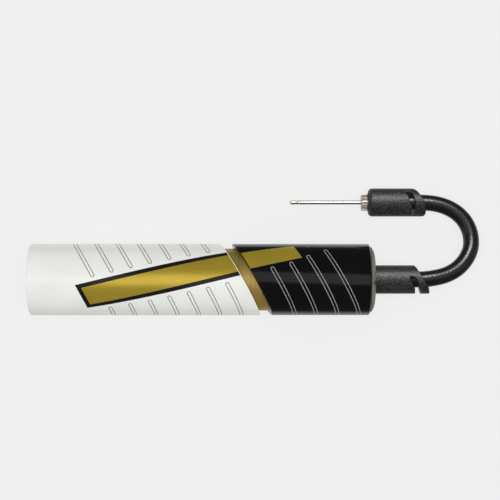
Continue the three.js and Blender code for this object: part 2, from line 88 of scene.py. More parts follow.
# The two sleeves' oblique edges: where each crosses the axis, and how its x changes with Y and Z.
SEAM_HANDLE = 19.9
SEAM_HEAD = 26.3
SEAM_SLOPE_Y = -0.553
SEAM_SLOPE_Z = 0.12
BEVEL = 0.3
REAR_ROUND = 0.45

HOSE_RADIUS = 4.3  # over the braid

# The hose's centre line, point for point as in the CAD model.
HOSE_ROUTE = [
    (97.8, 0, 19),
    (105, 0, 19),
    (112, 0, 19),
    (118, 0.12, 18.95),
    (123.5, 0.8, 18.65),
    (128.75, 2.0, 17.95),
    (133.7, 4.1, 16.95),
    (138.1, 7.3, 15.6),
    (141.7, 11.65, 14.0),
    (144, 16.8, 12.4),
    (144.4, 22.1, 10.95),
    (143.3, 27.25, 9.8),
    (140.8, 31.95, 8.9),
    (137.1, 35.75, 8.3),
    (132.4, 38.6, 7.9),
    (127.1, 40.4, 7.7),
    (121.5, 41.25, 7.62),
    (115.8, 41.44, 7.6),
    (109.5, 41.46, 7.6),
    (103, 41.46, 7.6),
    (96.9, 41.46, 7.6),
]

# ---- Camera --------------------------------------------------------------------------------

VIEW_CENTRE = (25.3, 15.74)
CAMERA_HEIGHT = 813
CAMERA_LENS = 107.1
SENSOR_WIDTH = 36


def make_camera():
    data = bpy.data.cameras.new("camera")
    data.sensor_width = SENSOR_WIDTH
    data.lens = CAMERA_LENS
    data.clip_start = 10 * MM
    camera = bpy.data.objects.new("camera", data)
    camera.location = (VIEW_CENTRE[0] * MM, VIEW_CENTRE[1] * MM, CAMERA_HEIGHT * MM)
    bpy.context.scene.collection.objects.link(camera)
    bpy.context.scene.camera = camera


# ---- Mesh helpers --------------------------------------------------------------------------


def new_object(name, vertices, faces, sharp=35):
    """A smooth-shaded mesh object whose edges past the sharp angle, in degrees, stay crisp."""
    mesh = bpy.data.meshes.new(name)
    mesh.from_pydata([(x * MM, y * MM, z * MM) for x, y, z in vertices], [], faces)
    mesh.validate()
    mesh.shade_smooth()
    mesh.set_sharp_from_angle(angle=math.radians(sharp))
    obj = bpy.data.objects.new(name, mesh)
    bpy.context.scene.collection.objects.link(obj)
    return obj


def placed(x, radius, angle, axis):
    """A point at x, at a radius from an axis along +X and an angle from +Y to +Z."""
    return (x, axis[0] + radius * math.cos(angle), axis[1] + radius * math.sin(angle))


def quads(rings, count, close_rings=False, close_points=True):
    """Faces between neighbouring rings of count points, which are stored ring after ring."""
    faces = []
    for i in range(rings if close_rings else rings - 1):
        here = i * count
        there = (i + 1) % rings * count
        for j in range(count if close_points else count - 1):
            k = (j + 1) % count
            faces.append((here + j, here + k, there + k, there + j))
    return faces


def capped(rings, count):
    """Faces of a tube of rings that is closed at both ends."""
    last = (rings - 1) * count
    return [*quads(rings, count), tuple(reversed(range(count))), tuple(range(last, last + count))]


def skin(profile, segments, axis):
    """Vertices and faces of a closed ring round +X. profile(angle) lists its [x, radius] loop."""
    vertices = []
    for i in range(segments):
        angle = 2 * math.pi * i / segments
        vertices += [placed(x, radius, angle, axis) for x, radius in profile(angle)]
    return vertices, quads(segments, len(vertices) // segments, close_rings=True)


def turned(name, profile, axis, segments=160, sharp=35):
    """A ring with the same [x, radius] loop all round."""
    return new_object(name, *skin(lambda angle: profile, segments, axis), sharp)


def disc(name, profile, axis, segments=160, sharp=35):
    """A turned solid without a hole: the open profile's two ends close on the axis."""
    vertices = []
    for i in range(segments):
        angle = 2 * math.pi * i / segments
        vertices += [placed(x, radius, angle, axis) for x, radius in profile]
    count = len(profile)
    faces = quads(segments, count, close_rings=True, close_points=False)
    first = len(vertices)
    vertices.append(placed(profile[0][0], 0, 0, axis))
    vertices.append(placed(profile[-1][0], 0, 0, axis))
    for i in range(segments):
        here = i * count
        there = (i + 1) % segments * count
        faces.append((first, here, there))
        faces.append((first + 1, there + count - 1, here + count - 1))
    return new_object(name, vertices, faces, sharp)


def corner(x, radius, size, start, steps=5):
    """Points of a quarter round, centred on (x, radius), from a start angle in degrees, clockwise."""
    angles = [math.radians(start - 90 * i / steps) for i in range(steps + 1)]
    return [(x + size * math.cos(a), radius + size * math.sin(a)) for a in angles]


def face_out(obj):
    """Turn all faces of a closed mesh outwards."""
    work = bmesh.new()
    work.from_mesh(obj.data)
    bmesh.ops.recalc_face_normals(work, faces=work.faces)
    work.to_mesh(obj.data)
    work.free()


def subtract(obj, cutter):
    """Take the shape of the cutter out of an object, as a modifier."""
    for shape in (obj, cutter):
        face_out(shape)
    modifier = obj.modifiers.new("subtract", "BOOLEAN")
    modifier.operation = "DIFFERENCE"
    modifier.solver = "EXACT"
    modifier.object = cutter


def apply_modifiers(obj):
    """Make the modifiers' result the object's own mesh."""
    graph = bpy.context.evaluated_depsgraph_get()
    mesh = bpy.data.meshes.new_from_object(obj.evaluated_get(graph))
    obj.modifiers.clear()
    old = obj.data
    obj.data = mesh
    bpy.data.meshes.remove(old)
    mesh.name = obj.name


def finish(obj, body, slot, materials, *nodes, look=None):
    """Turn a piece's faces out, put it on its body and give it its material: the slot's, or the look's where
    one is given.

    nodes are the CAD nodes that it stands for, and look is its material where that isn't the slot's.
    """
    face_out(obj)
    obj.data.materials.clear()
    obj.data.materials.append(materials[look or slot].material)
    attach(obj, body)
    if nodes:
        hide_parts(*nodes)


# ---- Material helpers ----------------------------------------------------------------------


class Graph:
    """A material with a Principled shader, and short calls to add nodes to it."""

    def __init__(self, name, roughness=0.5, metallic=0.0, **sockets):
        self.material = bpy.data.materials.new(name)
        self.material.use_nodes = True
        self.tree = self.material.node_tree
        self.shader = self.tree.nodes["Principled BSDF"]
        self.shader.inputs["Roughness"].default_value = roughness
        self.shader.inputs["Metallic"].default_value = metallic
        for socket, value in sockets.items():
            self.shader.inputs[socket.replace("_", " ")].default_value = value
        self.place = self.node("ShaderNodeTexCoord").outputs["Object"]

    def node(self, kind, **inputs):
        """Add a node. Each input is a value or another node's output."""
        node = self.tree.nodes.new(kind)
        for key, value in inputs.items():
            socket = node.inputs[key.replace("_", " ")]
            if isinstance(value, bpy.types.NodeSocket):
                self.tree.links.new(value, socket)
            else:
                socket.default_value = value
        return node

    def stretch(self, scale):
        """The place on the object, scaled along X, Y and Z."""
        mapping = self.node("ShaderNodeMapping", Vector=self.place)
        mapping.inputs["Scale"].default_value = scale
        return mapping.outputs["Vector"]

    def noise(self, scale, detail=4.0, where=None):
        texture = self.node("ShaderNodeTexNoise", Scale=scale, Detail=detail)
        self.tree.links.new(where or self.place, texture.inputs["Vector"])
        return texture.outputs["Fac"]

    def ramp(self, value, stops):
        """stops are (position, colour or grey)."""
        ramp = self.node("ShaderNodeValToRGB", Fac=value)
        elements = ramp.color_ramp.elements
        while len(elements) < len(stops):
            elements.new(0.5)
        for element, (position, colour) in zip(elements, stops):
            element.position = position
            element.color = colour if len(colour) == 4 else (*colour, 1)
        return ramp.outputs["Color"]

    def between(self, value, low, high):
        """A value from 0 to 1 as one from low to high."""
        node = self.node("ShaderNodeMapRange", Value=value)
        node.inputs["To Min"].default_value = low
        node.inputs["To Max"].default_value = high
        return node.outputs["Result"]

    def math(self, operation, a, b=0.0):
        node = self.tree.nodes.new("ShaderNodeMath")
        node.operation = operation
        for socket, value in zip(node.inputs, (a, b)):
            if isinstance(value, bpy.types.NodeSocket):
                self.tree.links.new(value, socket)
            else:
                socket.default_value = value
        return node.outputs[0]

    def colour(self, output):
        self.tree.links.new(output, self.shader.inputs["Base Color"])

    def roughness(self, output):
        self.tree.links.new(output, self.shader.inputs["Roughness"])

    def bump(self, height, distance, strength=1.0):
        bump = self.node("ShaderNodeBump", Height=height, Distance=distance, Strength=strength)
        self.tree.links.new(bump.outputs["Normal"], self.shader.inputs["Normal"])


def srgb(red, green, blue):
    """Linear colour of 8-bit sRGB values."""
    def linear(value):
        value /= 255
        return value / 12.92 if value <= 0.04045 else ((value + 0.055) / 1.055) ** 2.4
    return (linear(red), linear(green), linear(blue))


def mottled(name, dark, light, scale, roughness, spread, bump, bump_scale=900, **sockets):
    """A moulded or plated surface: colour drift, gloss uneven by the spread, and a grain bump metres deep."""
    graph = Graph(name, roughness=roughness, **sockets)
    drift = graph.noise(scale)
    graph.colour(graph.ramp(drift, [(0.35, dark), (0.65, light)]))
    gloss = graph.noise(scale * 6, detail=6)
    graph.roughness(graph.between(gloss, roughness - spread, roughness + spread))
    graph.bump(graph.noise(bump_scale, detail=3), bump)
    return graph


# ---- Materials -----------------------------------------------------------------------------


def make_materials():
    """Every material by its name. A plain one is two colours, drift scale, gloss and grain."""
    materials = {}
    materials["white_gloss"] = mottled(
        "white_gloss", srgb(232, 232, 228), srgb(238, 238, 234), 60, 0.3, 0.04, 0.000004, 700,
        Coat_Weight=0.25, Coat_Roughness=0.12)
    materials["black_gloss"] = mottled(
        "black_gloss", srgb(6, 6, 8), srgb(10, 10, 12), 60, 0.15, 0.03, 0.000002, 700)
    materials["cap_grey"] = mottled(
        "cap_grey", srgb(112, 108, 99), srgb(126, 121, 111), 90, 0.5, 0.06, 0.000012, 2400)
    materials["boot_grey"] = mottled(
        "boot_grey", srgb(20, 21, 22), srgb(56, 56, 56), 1000, 0.44, 0.1, 0.0002, 1600,
        Specular_IOR_Level=0.4)
    materials["nylon"] = mottled(
        "nylon", srgb(208, 205, 196), srgb(222, 219, 211), 120, 0.5, 0.06, 0.00001)
    materials["seal_rubber"] = mottled(
        "seal_rubber", srgb(22, 22, 23), srgb(32, 32, 33), 200, 0.75, 0.08, 0.00002)
    materials["steel"] = mottled(
        "steel", srgb(150, 152, 155), srgb(172, 174, 177), 200, 0.35, 0.08, 0.000005, 2000, metallic=1.0)
    materials["brass"] = mottled(
        "brass", srgb(178, 148, 82), srgb(202, 172, 104), 200, 0.33, 0.08, 0.000005, 2000, metallic=1.0)
    materials["nickel"] = mottled(
        "nickel", srgb(206, 196, 188), srgb(222, 212, 204), 300, 0.3, 0.06, 0.000006, 3000, metallic=0.8)
    materials["needle_steel"] = needle_steel()
    materials["gold_barrel"] = gold_barrel()
    materials["hose_braid"] = hose_braid()
    materials["stripe_gold"] = stripe_gold()
    materials["stripe_black"] = mottled(
        "stripe_black", srgb(16, 16, 18), srgb(24, 24, 26), 200, 0.3, 0.04, 0.000003, 1500)
    materials["line_dark"] = mottled(
        "line_dark", srgb(58, 58, 57), srgb(74, 74, 72), 300, 0.4, 0.04, 0.000003, 1500)
    materials["line_light"] = mottled(
        "line_light", srgb(150, 150, 150), srgb(172, 172, 172), 300, 0.4, 0.04, 0.000003, 1500)
    return materials


def needle_steel():
    """Drawn stainless tube: fine lines along it."""
    graph = Graph("needle_steel", roughness=0.36, metallic=1.0)
    lines = graph.noise(900, where=graph.stretch((0.03, 4, 4)))
    graph.colour(graph.ramp(lines, [(0.3, srgb(222, 212, 202)), (0.7, srgb(244, 236, 227))]))
    graph.roughness(graph.between(lines, 0.3, 0.44))
    graph.bump(lines, 0.00001)
    return graph


def gold_barrel():
    """Anodised tube with a turned finish: fine lines round it, streaks in tone along it."""
    graph = Graph("gold_barrel", roughness=0.5, metallic=0.75)
    lines = graph.noise(900, where=graph.stretch((6, 0.05, 0.05)))
    cloud = graph.noise(70, where=graph.stretch((1.0, 0.4, 0.4)))
    mixed = graph.math("ADD", graph.math("MULTIPLY", lines, 0.6), graph.math("MULTIPLY", cloud, 0.4))
    stops = [(0.35, srgb(182, 154, 78)), (0.5, srgb(208, 180, 98)), (0.65, srgb(232, 206, 128))]
    graph.colour(graph.ramp(mixed, stops))
    graph.roughness(graph.between(lines, 0.44, 0.58))
    graph.bump(lines, 0.00002)
    return graph


def hose_braid():
    """Black braid: the strands are in the mesh. This adds the fibres' sheen as uneven gloss and a fine bump,
    and painted shade: the colour is near black in the hollows between strands and lighter on their crowns.
    """
    graph = Graph("hose_braid", roughness=0.3)
    height = graph.node("ShaderNodeAttribute")
    height.attribute_name = "strand"
    # painted shade: near black where the strands sink into hollows, lighter on their crowns
    stops = [(0.0, srgb(4, 4, 5)), (0.6, srgb(16, 17, 19)), (1.0, srgb(26, 27, 30))]
    graph.colour(graph.ramp(height.outputs["Fac"], stops))
    fibres = graph.noise(2600)
    graph.roughness(graph.between(fibres, 0.24, 0.36))
    graph.bump(fibres, 0.00001)
    return graph


def stripe_gold():
    """Printed metallic gold: fine flakes in a clear film."""
    graph = Graph("stripe_gold", roughness=0.33, metallic=0.55)
    flakes = graph.noise(2800, detail=2)
    drift = graph.noise(45)
    tone = graph.math("ADD", graph.math("MULTIPLY", flakes, 0.5), graph.math("MULTIPLY", drift, 0.5))
    stops = [(0.3, srgb(188, 160, 50)), (0.5, srgb(198, 171, 58)), (0.7, srgb(208, 184, 74))]
    graph.colour(graph.ramp(tone, stops))
    graph.roughness(graph.between(flakes, 0.26, 0.4))
    graph.bump(flakes, 0.000006)
    return graph


# ---- Hose ----------------------------------------------------------------------------------


def smooth_route(points, per_span):
    """A Catmull-Rom curve through the points, with per_span steps between each two."""
    pad = [2 * Vector(points[0]) - Vector(points[1]), *map(Vector, points)]
    pad.append(2 * Vector(points[-1]) - Vector(points[-2]))
    line = []
    for a, b, c, d in zip(pad, pad[1:], pad[2:], pad[3:]):
        for i in range(per_span):
            t = i / per_span
            line.append(0.5 * (2 * b + (c - a) * t + (2 * a - 5 * b + 4 * c - d) * t * t
                               + (3 * b - 3 * c + d - a) * t ** 3))
    line.append(Vector(points[-1]))
    return line


def frames_along(line):
    """Side and up at each point, turned as little as possible from one to the next."""
    side = Vector((0, 1, 0))
    frames = []
    for i in range(len(line)):
        before = line[max(0, i - 1)]
        after = line[min(len(line) - 1, i + 1)]
        tangent = (after - before).normalized()
        side = (side - tangent * side.dot(tangent)).normalized()
        frames.append((side, tangent.cross(side)))
    return frames


STRANDS = 26  # carriers of the braid in each direction
BRAID_PITCH = 60.0  # millimetres for a strand to go once round
BRAID_DEPTH = 0.04
BRAID_DIP = 0.65  # share of its height that a strand loses where it passes under
HOSE_RINGS = 36  # rings of points from one point of the route to the next
HOSE_AROUND = 8 * STRANDS
HOSE_SHARP = 80


def strand_height(turn, length):
    """0 in the hollows to 1 on the crowns of a two-over, two-under braid."""
    right = (turn + length / BRAID_PITCH) * STRANDS
    left = (turn - length / BRAID_PITCH) * STRANDS
    crown_right = math.sqrt(max(0.0, 1 - (2 * (right % 1) - 1) ** 2))
    crown_left = math.sqrt(max(0.0, 1 - (2 * (left % 1) - 1) ** 2))
    over = 0.5 + 0.5 * math.sin(math.pi * (math.floor(right) + left))
    return max(crown_right * (1 - BRAID_DIP + BRAID_DIP * over), crown_left * (1 - BRAID_DIP * over))


def make_hose(materials):
    """A braided hose along the route, with the height of its strands as an attribute for the material, which
    paints shade in the hollows from it.
    """
    line = smooth_route(HOSE_ROUTE, HOSE_RINGS)
    vertices, heights = [], []
    length = 0.0
    for i, (point, (side, up)) in enumerate(zip(line, frames_along(line))):
        if i:
            length += (point - line[i - 1]).length
        for j in range(HOSE_AROUND):
            turn = j / HOSE_AROUND
            height = strand_height(turn, length)
            radius = HOSE_RADIUS - BRAID_DEPTH * (1 - height)
            angle = 2 * math.pi * turn
            vertices.append(point + radius * (math.cos(angle) * side + math.sin(angle) * up))
            heights.append(height)
    hose = new_object("braided_hose", vertices, capped(len(line), HOSE_AROUND), HOSE_SHARP)
    # the strand height also drives the material's painted shade in the braid's hollows
    strand = hose.data.attributes.new("strand", "FLOAT", "POINT")
    strand.data.foreach_set("value", heights)
    finish(hose, "hose", "hose_braid", materials, "hose")


# ---- Sleeves, barrel and cap ---------------------------------------------------------------

BODY_SEGMENTS = 256
BARREL_CHAMFER = 0.2


def seam(x, radius, angle):
    """x of an oblique edge that crosses the axis at x, at a radius and an angle from +Y to +Z."""
    return x + SEAM_SLOPE_Y * radius * math.cos(angle) + SEAM_SLOPE_Z * radius * math.sin(angle)


def edge_points(x, way, bore, angle):
    """Section of a sleeve's oblique edge from its outside to its bore. way is +1 at a front edge."""
    outer = BODY_RADIUS
    return [
        (seam(x, outer, angle) - way * BEVEL * 1.2, outer),
        (seam(x, outer, angle) - way * BEVEL * 0.35, outer - BEVEL * 0.3),
        (seam(x, outer - BEVEL, angle), outer - BEVEL),
        (seam(x, bore, angle), bore),
    ]


def make_handle_sleeve(materials):
    rear = handle_low.x

    def profile(angle):
        back = corner(rear + REAR_ROUND, BODY_RADIUS - REAR_ROUND, REAR_ROUND, 180)
        return [(rear, HANDLE_BORE), *back, *edge_points(SEAM_HANDLE, 1, HANDLE_BORE, angle)]

    sleeve = new_object("white_sleeve", *skin(profile, BODY_SEGMENTS, BODY_AXIS))
    finish(sleeve, "handle", "white_gloss", materials, "handle_sleeve")


# The black sleeve's rounded front edge, as distances behind its front face and below its outside.
HEAD_NOSE = [(1.05, 0), (0.75, 0.06), (0.42, 0.36), (0.15, 0.85), (0, 1.5)]


def make_head_sleeve(materials):
    nose = [(HEAD_FRONT - behind, BODY_RADIUS - below) for behind, below in HEAD_NOSE]

    def profile(angle):
        back = edge_points(SEAM_HEAD, -1, HEAD_BORE, angle)
        return [*reversed(back), *nose, (HEAD_FRONT, HEAD_BORE)]

    sleeve = new_object("black_sleeve", *skin(profile, BODY_SEGMENTS, BODY_AXIS))
    finish(sleeve, "pump_head", "black_gloss", materials, "head_sleeve")


def make_barrel(materials):
    low, high, inset = barrel_low.x, barrel_high.x, BARREL_RADIUS - BARREL_CHAMFER
    loop = [(low, BARREL_BORE), (low, inset), (low + BARREL_CHAMFER, BARREL_RADIUS),
            (high - BARREL_CHAMFER, BARREL_RADIUS), (high, inset), (high, BARREL_BORE)]
    tube = turned("gold_tube", loop, BODY_AXIS, BODY_SEGMENTS)
    finish(tube, "pump_head", "gold_barrel", materials, "barrel")


CAP_SEGMENTS = 360
CAP_FLANGE = 89.2  # rear of the part that shows
CAP_HUB = (79, 7.2, 9.6)  # rear, bore and outer radius of the hub round the valve block's nose
CAP_SPIGOT = (84, 15, 16.6)  # rear, inner and outer radius of the spigot in the sleeve
CAP_WEB = 87
CAP_SHOULDER = [(CAP_FLANGE, 17.35), (89.27, 17.47), (89.45, 17.46), (89.75, 17.33), (90.15, 16.95),
                (90.55, 16.35), (90.88, 15.7), (91.15, 15.0), (91.37, 14.25), (CAP_FRONT, 13.5)]
BOOT_HOLE = 7.95
BOOT_HOLE_FLOOR = 89.3
NOTCH_FLOOR = 89.95
NOTCH_ANGLE = math.acos(-1.45 / 14.6)  # its middle is 1.45 to the -Y side at a radius of 14.6
NOTCH_HALF_ANGLE = 0.075
NOTCH_RADII = (17.1, 16.7, 16.2, 15.4, 14.6, 13.9)  # its floor's points, which stand for the shoulder's


def make_end_cap(materials):
    """A cap with a rounded shoulder, and a notch from the shoulder to the hole for the boot."""
    hub_rear, hub_bore, hub_outer = CAP_HUB
    spigot_rear, spigot_inner, spigot_outer = CAP_SPIGOT
    inside = [(hub_rear, hub_bore), (hub_rear, hub_outer), (CAP_WEB, hub_outer), (CAP_WEB, spigot_inner),
              (spigot_rear, spigot_inner), (spigot_rear, spigot_outer), (CAP_FLANGE, spigot_outer)]
    hole = [(CAP_FRONT, BOOT_HOLE + 0.25), (CAP_FRONT - 0.07, BOOT_HOLE + 0.07),
            (CAP_FRONT - 0.25, BOOT_HOLE), (BOOT_HOLE_FLOOR, BOOT_HOLE), (BOOT_HOLE_FLOOR, hub_bore)]
    face = [(CAP_FRONT, 13.0), (CAP_FRONT, 12.7)]
    notch = [(NOTCH_FLOOR, radius) for radius in NOTCH_RADII]
    notch_face = [(NOTCH_FLOOR, BOOT_HOLE + 0.75), (CAP_FRONT, BOOT_HOLE + 0.65)]

    def profile(angle):
        if abs(angle - NOTCH_ANGLE) < NOTCH_HALF_ANGLE:
            return [*inside, *CAP_SHOULDER[:-len(notch)], *notch, *notch_face, *hole]
        return [*inside, *CAP_SHOULDER, *face, *hole]

    cap = new_object("grey_cap", *skin(profile, CAP_SEGMENTS, BODY_AXIS))
    finish(cap, "pump_head", "cap_grey", materials, "end_cap")


def make_end_cover(materials):
    """A flush disc with a shallow ring groove."""
    rear, front = cover_low.x, cover_high.x
    outer, groove_outer, groove_inner, groove_depth, middle = 17.4, 14.2, 12.8, 0.25, 0.5
    groove = [(rear, groove_outer), (rear + groove_depth, groove_outer - groove_depth),
              (rear + groove_depth, groove_inner + groove_depth), (rear, groove_inner)]
    profile = [(front, outer), (rear + 0.3, outer), (rear + 0.08, outer - 0.1), (rear, outer - 0.35),
               *groove, (rear, middle)]
    cover = disc("rear_cover", profile, BODY_AXIS)
    finish(cover, "handle", "white_gloss", materials, "handle_end_cover")


# ---- Printed graphics ----------------------------------------------------------------------

# Distances round the body are measured on its surface from the top line, towards +Y.
STRIPE_START = -65.0  # where the gold's rear end crosses the top line
STRIPE_END = 59.5
STRIPE_HEIGHT = 5.5  # how far round the body the stripe's centre is at x = 0
STRIPE_SLOPE = 0.24
STRIPE_GOLD = 11.0
STRIPE_BORDER = 2.3  # width of the dark border on each side of the gold
BORDER_LEAD = 2.4  # how far the border reaches behind the gold
SEAM_MARGIN = 0.45  # from the end of a stripe to the sleeve's oblique edge
PRINT_DEPTH = 0.05  # how far the prints reach below the surface, and their heights above it
BORDER_TOP = 0.02
LINE_TOP = 0.03
GOLD_TOP = 0.04
PILL_PITCH = 11.3
PILL_WIDTH = 1.7
PILL_END = 35.0  # how far round the body the pills end
PILL_GAP = 3.0  # from the border to the pills
WHITE_PILLS = 7
WHITE_PILL = 12.4  # where the foremost white pill's line crosses the top line
BLACK_PILL = 40.6  # where the rearmost black pill's line does
BLACK_PILL_STARTS = (6.3, 9.0, 13.4, 17.8)  # how far round the body each begins
LINE_WIDTH = 0.33


def on_body(x, round_way, radius):
    """A point on the body: round_way is the distance round it from the top line, towards +Y."""
    angle = math.pi / 2 - round_way / BODY_RADIUS
    return placed(x, radius, angle, BODY_AXIS)


def slant(x, round_way):
    """x at a distance round the body, on the line parallel to the seam that crosses the top line at x."""
    angle = math.pi / 2 - round_way / BODY_RADIUS
    shift = SEAM_SLOPE_Y * math.cos(angle) + SEAM_SLOPE_Z * (math.sin(angle) - 1)
    return x + shift * BODY_RADIUS


def slab(rows, top, closed):
    """A thin closed solid on the body from rows of (x, round_way) points. top is its height."""
    across = len(rows[0])
    vertices = []
    for height in (-PRINT_DEPTH, top):
        vertices += [on_body(x, s, BODY_RADIUS + height) for row in rows for x, s in row]
    layer = len(rows) * across
    faces = []
    last = len(rows) if closed else len(rows) - 1
    for i in range(last):
        a = i * across
        b = (i + 1) % len(rows) * across
        for j in range(across - 1):
            faces.append((layer + a + j, layer + a + j + 1, layer + b + j + 1, layer + b + j))
            faces.append((a + j, b + j, b + j + 1, a + j + 1))
        faces.append((a, layer + a, layer + b, b))
        end = across - 1
        faces.append((a + end, b + end, layer + b + end, layer + a + end))
    if not closed:
        for row, flip in ((0, 1), (len(rows) - 1, -1)):
            for j in range(across - 1):
                a = row * across + j
                faces.append((a, a + 1, layer + a + 1, layer + a)[::flip])
    return vertices, faces


def merged(parts):
    """Several sets of vertices and faces as one."""
    vertices, faces = [], []
    for some_vertices, some_faces in parts:
        shift = len(vertices)
        vertices += some_vertices
        faces += [tuple(shift + v for v in face) for face in some_faces]
    return vertices, faces


SETTLE_STEPS = 30


def stripe_x(limit, offset):
    """x where the stripe's line at an offset from its centre meets the slanted limit line."""
    x = limit
    for _ in range(SETTLE_STEPS):
        x = 0.5 * x + 0.5 * slant(limit, STRIPE_HEIGHT + STRIPE_SLOPE * x + offset)
    return x


def stripe_slab(start, end, width, top):
    """The stretch of the stripe between two lines parallel to the seam."""
    across, along = 16, 80
    rows = []
    for i in range(along + 1):
        row = []
        for j in range(across + 1):
            offset = width * (j / across - 0.5)
            x0, x1 = stripe_x(start, offset), stripe_x(end, offset)
            x = x0 + (x1 - x0) * i / along
            row.append((x, STRIPE_HEIGHT + STRIPE_SLOPE * x + offset))
        rows.append(row)
    return slab(rows, top, False)


def pill_loop(x, start, end):
    """Centre of a pill's outline, as points round it. The pill runs parallel to the seam."""
    steps, cap = 40, 8
    round_way = [start + (end - start) * i / steps for i in range(steps + 1)]
    centre = [(slant(x, s), s) for s in round_way]
    half = PILL_WIDTH / 2
    way = [Vector(b) - Vector(a) for a, b in zip([centre[0], *centre], [*centre[1:], centre[-1]])]
    way = [v.normalized() for v in way]
    left = [Vector(p) + half * Vector((-v.y, v.x)) for p, v in zip(centre, way)]
    right = [Vector(p) - half * Vector((-v.y, v.x)) for p, v in zip(centre, way)]

    def round_end(point, v):
        side = Vector((-v.y, v.x))
        angles = [math.pi * i / cap for i in range(1, cap)]
        return [Vector(point) + half * (math.cos(a) * side + math.sin(a) * v) for a in angles]

    far = round_end(centre[-1], way[-1])
    near = round_end(centre[0], -way[0])
    return [*left, *far, *reversed(right), *near]


def pill_slab(x, start, end):
    """A pill's outline as a thin closed solid."""
    loop = pill_loop(x, start, end)
    rows = []
    for i, point in enumerate(loop):
        v = (loop[(i + 1) % len(loop)] - loop[i - 1]).normalized()
        side = Vector((-v.y, v.x)) * LINE_WIDTH / 2
        rows.append([tuple(point - side), tuple(point + side)])
    return slab(rows, LINE_TOP, True)


def white_pills():
    """Pills on both sides of the stripe, which keep a gap from its border."""
    reach = STRIPE_GOLD / 2 + STRIPE_BORDER + PILL_GAP
    pills = []
    for i in range(WHITE_PILLS):
        x = WHITE_PILL - PILL_PITCH * i
        for way in (-1, 1):
            begin = STRIPE_HEIGHT + STRIPE_SLOPE * x + way * reach
            for _ in range(SETTLE_STEPS):
                begin = STRIPE_HEIGHT + STRIPE_SLOPE * slant(x, begin) + way * reach
            pills.append(pill_slab(x, begin, way * PILL_END))
    return pills


def black_pills():
    """Pills on the -Y side of the black sleeve."""
    starts = enumerate(BLACK_PILL_STARTS)
    return [pill_slab(BLACK_PILL + PILL_PITCH * i, start, -PILL_END) for i, start in starts]


def make_graphics(materials):
    white_front = SEAM_HANDLE + SEAM_SLOPE_Z * BODY_RADIUS - SEAM_MARGIN
    black_rear = SEAM_HEAD + SEAM_SLOPE_Z * BODY_RADIUS + SEAM_MARGIN
    wide = STRIPE_GOLD + 2 * STRIPE_BORDER
    border = stripe_slab(STRIPE_START - BORDER_LEAD, white_front, wide, BORDER_TOP)
    gold_on_white = stripe_slab(STRIPE_START, white_front, STRIPE_GOLD, GOLD_TOP)
    gold_on_black = stripe_slab(black_rear, STRIPE_END, STRIPE_GOLD, GOLD_TOP)
    for name, shape, body, slot, look in (
        ("pill_outlines_white", merged(white_pills()), "handle", "white_gloss", "line_dark"),
        ("pill_outlines_black", merged(black_pills()), "pump_head", "black_gloss", "line_light"),
        ("stripe_border", border, "handle", "white_gloss", "stripe_black"),
        ("stripe_on_handle", gold_on_white, "handle", "white_gloss", "stripe_gold"),
        ("stripe_on_head", gold_on_black, "pump_head", "black_gloss", "stripe_gold"),
    ):
        finish(new_object(name, *shape), body, slot, materials, look=look)


# ---- Boots ---------------------------------------------------------------------------------

# Distances are from a boot's rear. Round a boot, turn counts degrees from one end of the slot.
MOUTH_MIDDLE = 26.9
MOUTH_SWING = 4.0
MOUTH_LAG = 85
SLOT_CENTRE = 24.9
SLOT_SWEEP = 3.85  # how much further back the slot begins
SLOT_HALF = 1.55  # half of its width where it begins
SLOT_LEAST = 0.5  # its least width
SLOT_TURN = 100  # the turn at which it runs straight round
SLOT_SPAN = 170
SLOT_ROUND = 11.0  # degrees that each rounded end takes
BOOT_ROUND = 2.2
BOOT_VOXEL = 0.2
BOOT_SMOOTHING = 22
FERRULE_SEGMENTS = 96

# Turn of each boot about its axis in degrees, and how far its slot's front edge moves on by SLOT_TURN.
PUMP_BOOT = (77, -0.4)
NEEDLE_BOOT = (38, -1.8)


def mouth(turn):
    """Distance of the oblique mouth at a turn."""
    return MOUTH_MIDDLE - MOUTH_SWING * math.cos(math.radians(turn + MOUTH_LAG))


def slot_edges(turn, gape):
    """Rear and front edge of the slot at a turn from 0 to SLOT_SPAN. Both of its ends are round."""
    left = max(0.0, 1 - turn / SLOT_TURN)
    middle = SLOT_CENTRE - SLOT_SWEEP * left ** 2
    spread = gape * (turn / SLOT_TURN) ** 1.5
    rear, front = middle - SLOT_HALF, middle + max(SLOT_LEAST - SLOT_HALF, SLOT_HALF + spread)
    near = min(1.0, turn / SLOT_ROUND, (SLOT_SPAN - turn) / SLOT_ROUND)
    pinch = 1 - math.sqrt(max(0.0, 1 - (1 - near) ** 2))
    half = (front - rear) / 2
    return rear + half * pinch, front - half * pinch


def boot_blank(rear, phase, axis):
    """A boot without its slot. Its bore steps from a lip to a pocket, the ferrule's seat and the throat."""
    lip, pocket, seat, throat = 5.1, 6.15, 5.6, 4.75
    pocket_rear, seat_rear, throat_rear = rear + 1.2, rear + 7.8, rear + 20.8
    back = corner(rear + BOOT_ROUND, BOOT_RADIUS - BOOT_ROUND, BOOT_ROUND, 180, 8)

    def profile(angle):
        front = rear + mouth(math.degrees(angle) - phase)
        return [(rear, lip), *back, (front, BOOT_RADIUS), (front, throat), (throat_rear, throat),
                (throat_rear, seat), (seat_rear, seat), (seat_rear, pocket), (pocket_rear, pocket),
                (pocket_rear, lip)]

    return skin(profile, 240, axis)


def slot_cutter(rear, phase, gape, axis):
    """A bent bar through the boot's wall, in the shape of the slot."""
    steps, inner, outer, margin = 140, 4.0, 9.0, 0.2
    vertices = []
    for i in range(steps + 1):
        turn = margin + (SLOT_SPAN - 2 * margin) * i / steps
        back, front = slot_edges(turn, gape)
        angle = math.radians(turn + phase)
        for x, radius in ((back, inner), (back, outer), (front, outer), (front, inner)):
            vertices.append(placed(rear + x, radius, angle, axis))
    return vertices, capped(steps + 1, 4)


